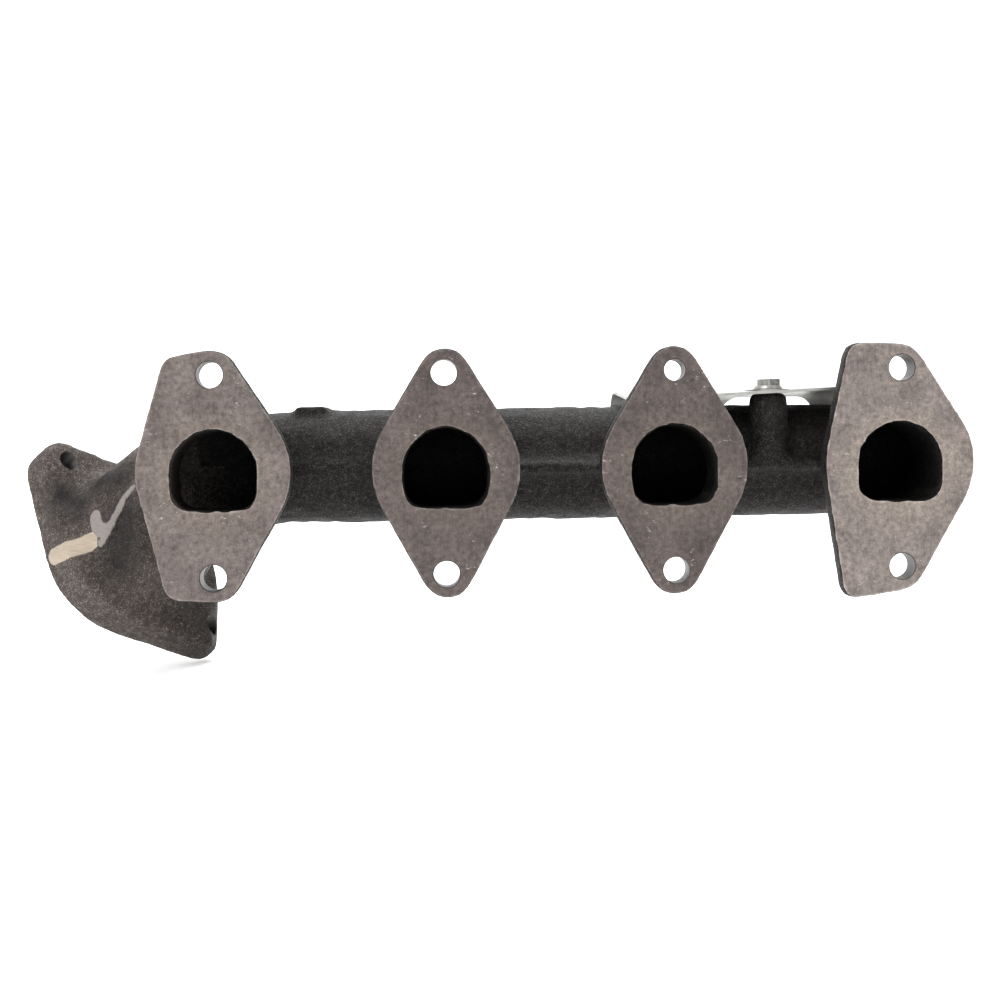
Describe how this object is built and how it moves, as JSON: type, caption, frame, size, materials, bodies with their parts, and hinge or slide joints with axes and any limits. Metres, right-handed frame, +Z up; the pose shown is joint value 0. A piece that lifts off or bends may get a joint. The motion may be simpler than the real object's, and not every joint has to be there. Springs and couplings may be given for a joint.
{
  "type": "exhaust manifold",
  "caption": "Cast-iron log exhaust manifold with D-shaped ports on machined flanges, a tilted two-bolt outlet and a bolted sheet heat shield.",
  "frame": {"origin": "centre of the rectangle of the four outer head-bolt holes, in the plane of the machined port faces", "axes": "+X along the log away from the outlet, +Y from the cylinder head out through the part, +Z up; the port faces look along -Y"},
  "size_m": [0.4263, 0.1058, 0.144],
  "materials": {
    "cast_iron": "sand-cast and dark, with machined port faces",
    "sheet_steel": "aluminised, satin",
    "plated_steel": "zinc plated, satin"
  },
  "bodies": {
    "root": {"manifold_casting": "cast_iron", "heat_shield": "sheet_steel", "shield_top_bolt": "plated_steel", "shield_side_bolts": "plated_steel"}
  },
  "joints": []
}
